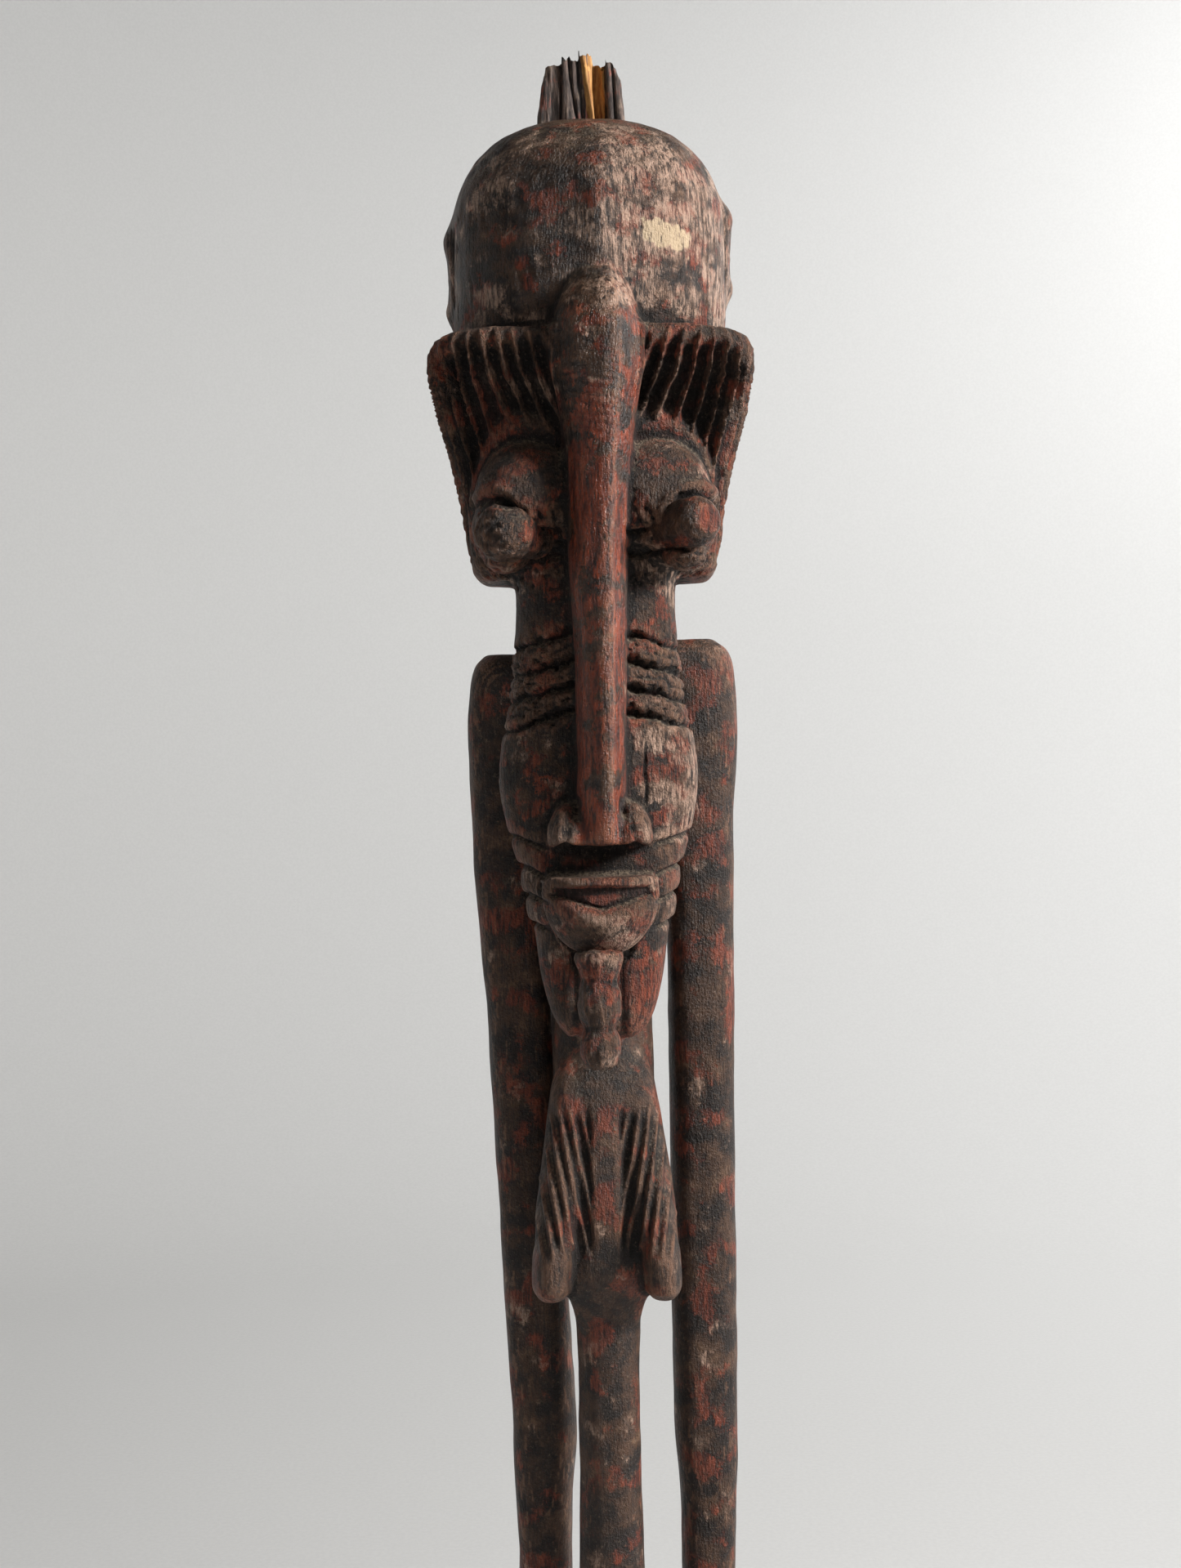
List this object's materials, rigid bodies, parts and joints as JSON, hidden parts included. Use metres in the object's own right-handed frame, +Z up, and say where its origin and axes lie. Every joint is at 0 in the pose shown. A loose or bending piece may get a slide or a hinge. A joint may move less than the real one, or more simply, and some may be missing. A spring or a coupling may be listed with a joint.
{
  "type": "carved ancestor figure",
  "caption": "Tall slender standing figure carved in hardwood, with a long mask-like head, tubular eyes, ridged crest, hanging arms and a square plinth.",
  "frame": {"origin": "centre of the plinth's underside, where the figure rests on its surface", "axes": "+Z up along the figure's height, the figure faces -Y, and +X is its own left side"},
  "size_m": [0.15, 0.15, 0.884],
  "materials": {
    "worn_painted_hardwood": "dark stain and brick-red paint worn through to wood, waxed satin",
    "split_hardwood": "split and splintered, stained outside, raw inside",
    "bare_dowel_wood": "bare, turned smooth",
    "waxed_plinth_wood": "dark stained, waxed satin"
  },
  "bodies": {
    "root": {"head": "worn_painted_hardwood", "crest_stump": "split_hardwood", "eye_peg_right": "worn_painted_hardwood", "eye_peg_left": "worn_painted_hardwood", "beard_peg": "worn_painted_hardwood", "body": "worn_painted_hardwood", "neck_dowel": "bare_dowel_wood", "arm_right": "worn_painted_hardwood", "arm_left": "worn_painted_hardwood", "shoulder_peg_right": "bare_dowel_wood", "shoulder_peg_left": "bare_dowel_wood", "foot_dowel_right": "bare_dowel_wood", "foot_dowel_left": "bare_dowel_wood", "plinth": "waxed_plinth_wood"}
  },
  "joints": []
}
